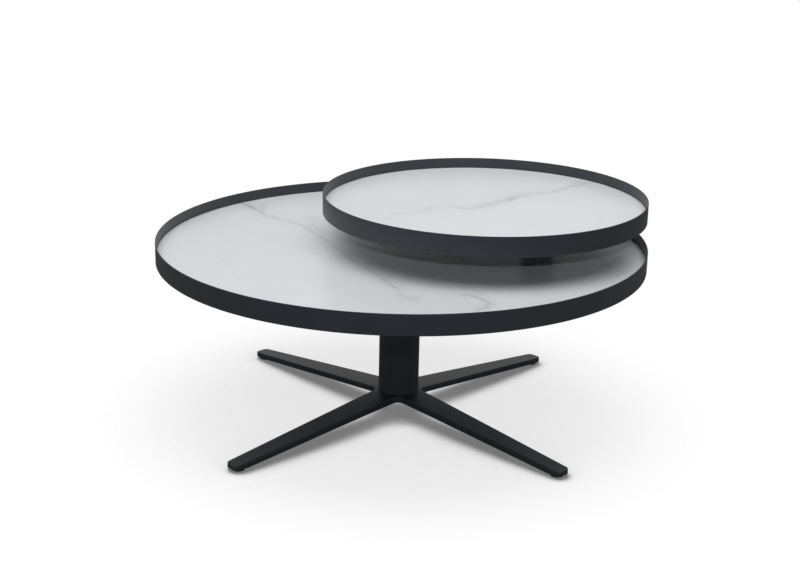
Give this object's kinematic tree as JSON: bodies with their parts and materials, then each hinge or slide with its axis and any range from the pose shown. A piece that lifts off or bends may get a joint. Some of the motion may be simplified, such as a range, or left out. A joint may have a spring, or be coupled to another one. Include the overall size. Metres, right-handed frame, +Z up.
{
  "type": "swivel coffee table",
  "caption": "Low round coffee table with two rimmed trays of marble-look ceramic: the smaller upper tray swings round an off-centre post over the larger one, on a column and star base.",
  "frame": {"origin": "on the floor, on the axis of the column", "axes": "+Z up, +X from the column towards the post of the upper tray, +Y away from the picture's viewer"},
  "size_m": [0.9023, 0.9, 0.426],
  "materials": {
    "black_powder_coat": "fine satin powder coat, anthracite black",
    "marble_ceramic": "pale marble-look ceramic with thin grey veins, semi-gloss",
    "dark_board": "black-faced board, matt",
    "zinc_steel": "zinc plated",
    "black_nylon": "moulded, matt",
    "black_rubber": "matt"
  },
  "bodies": {
    "base": {"star_base": "black_powder_coat", "floor_glides": "black_nylon", "glide_screws": "zinc_steel", "column_tube": "black_powder_coat", "column_foot_disc": "zinc_steel", "base_bolts": "zinc_steel", "base_washers": "zinc_steel", "column_head_plate": "black_powder_coat", "head_plate_screws": "zinc_steel", "lower_rim": "black_powder_coat", "lower_rim_tabs": "black_powder_coat", "lower_tab_screws": "zinc_steel", "lower_panel": "dark_board", "lower_ceramic_top": "marble_ceramic", "post_mount_plate": "black_powder_coat", "post_mount_screws": "zinc_steel", "post_sleeve": "black_powder_coat", "post_collar": "black_rubber", "upper_bush": "black_nylon", "lower_bush": "black_nylon", "thrust_washer": "black_nylon"},
    "upper_top": {"pivot_spindle": "zinc_steel", "swivel_plate": "black_powder_coat", "swivel_plate_screws": "zinc_steel", "friction_washer": "black_nylon", "retaining_washer": "zinc_steel", "retaining_bolt": "zinc_steel", "upper_rim": "black_powder_coat", "upper_rim_tabs": "black_powder_coat", "upper_tab_screws": "zinc_steel", "upper_panel": "dark_board", "upper_ceramic_top": "marble_ceramic"}
  },
  "joints": [
    {"name": "upper_swivel", "type": "hinge", "parent": "base", "child": "upper_top", "pos_m": [0.252, 0, 0.385], "axis": [0, 0, 1], "continuous": true}
  ]
}
